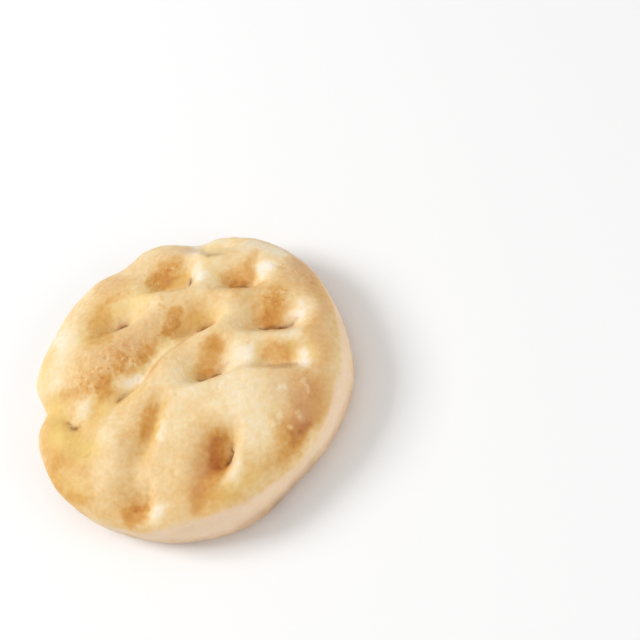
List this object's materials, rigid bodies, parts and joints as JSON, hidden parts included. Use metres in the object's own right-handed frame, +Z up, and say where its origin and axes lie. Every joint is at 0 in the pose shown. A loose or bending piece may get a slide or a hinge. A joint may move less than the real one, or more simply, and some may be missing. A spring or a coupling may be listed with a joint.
{
  "type": "focaccia roll",
  "caption": "Round flat focaccia roll: a low loaf with a pale rounded wall, a golden top pressed with deep finger dimples and folds, and a flat base.",
  "frame": {"origin": "on the plane of the flat base, under the middle of the loaf's box", "axes": "+Z up through the loaf from its base; +Y and +X lie in the base's plane, with the picture taken from the front right, 40 degrees from -Y towards +X"},
  "size_m": [0.1342, 0.1303, 0.0323],
  "materials": {
    "crust": "matte baked crust, pale on the wall and golden to toasted brown on top"
  },
  "bodies": {
    "root": {"focaccia": "crust"}
  },
  "joints": []
}
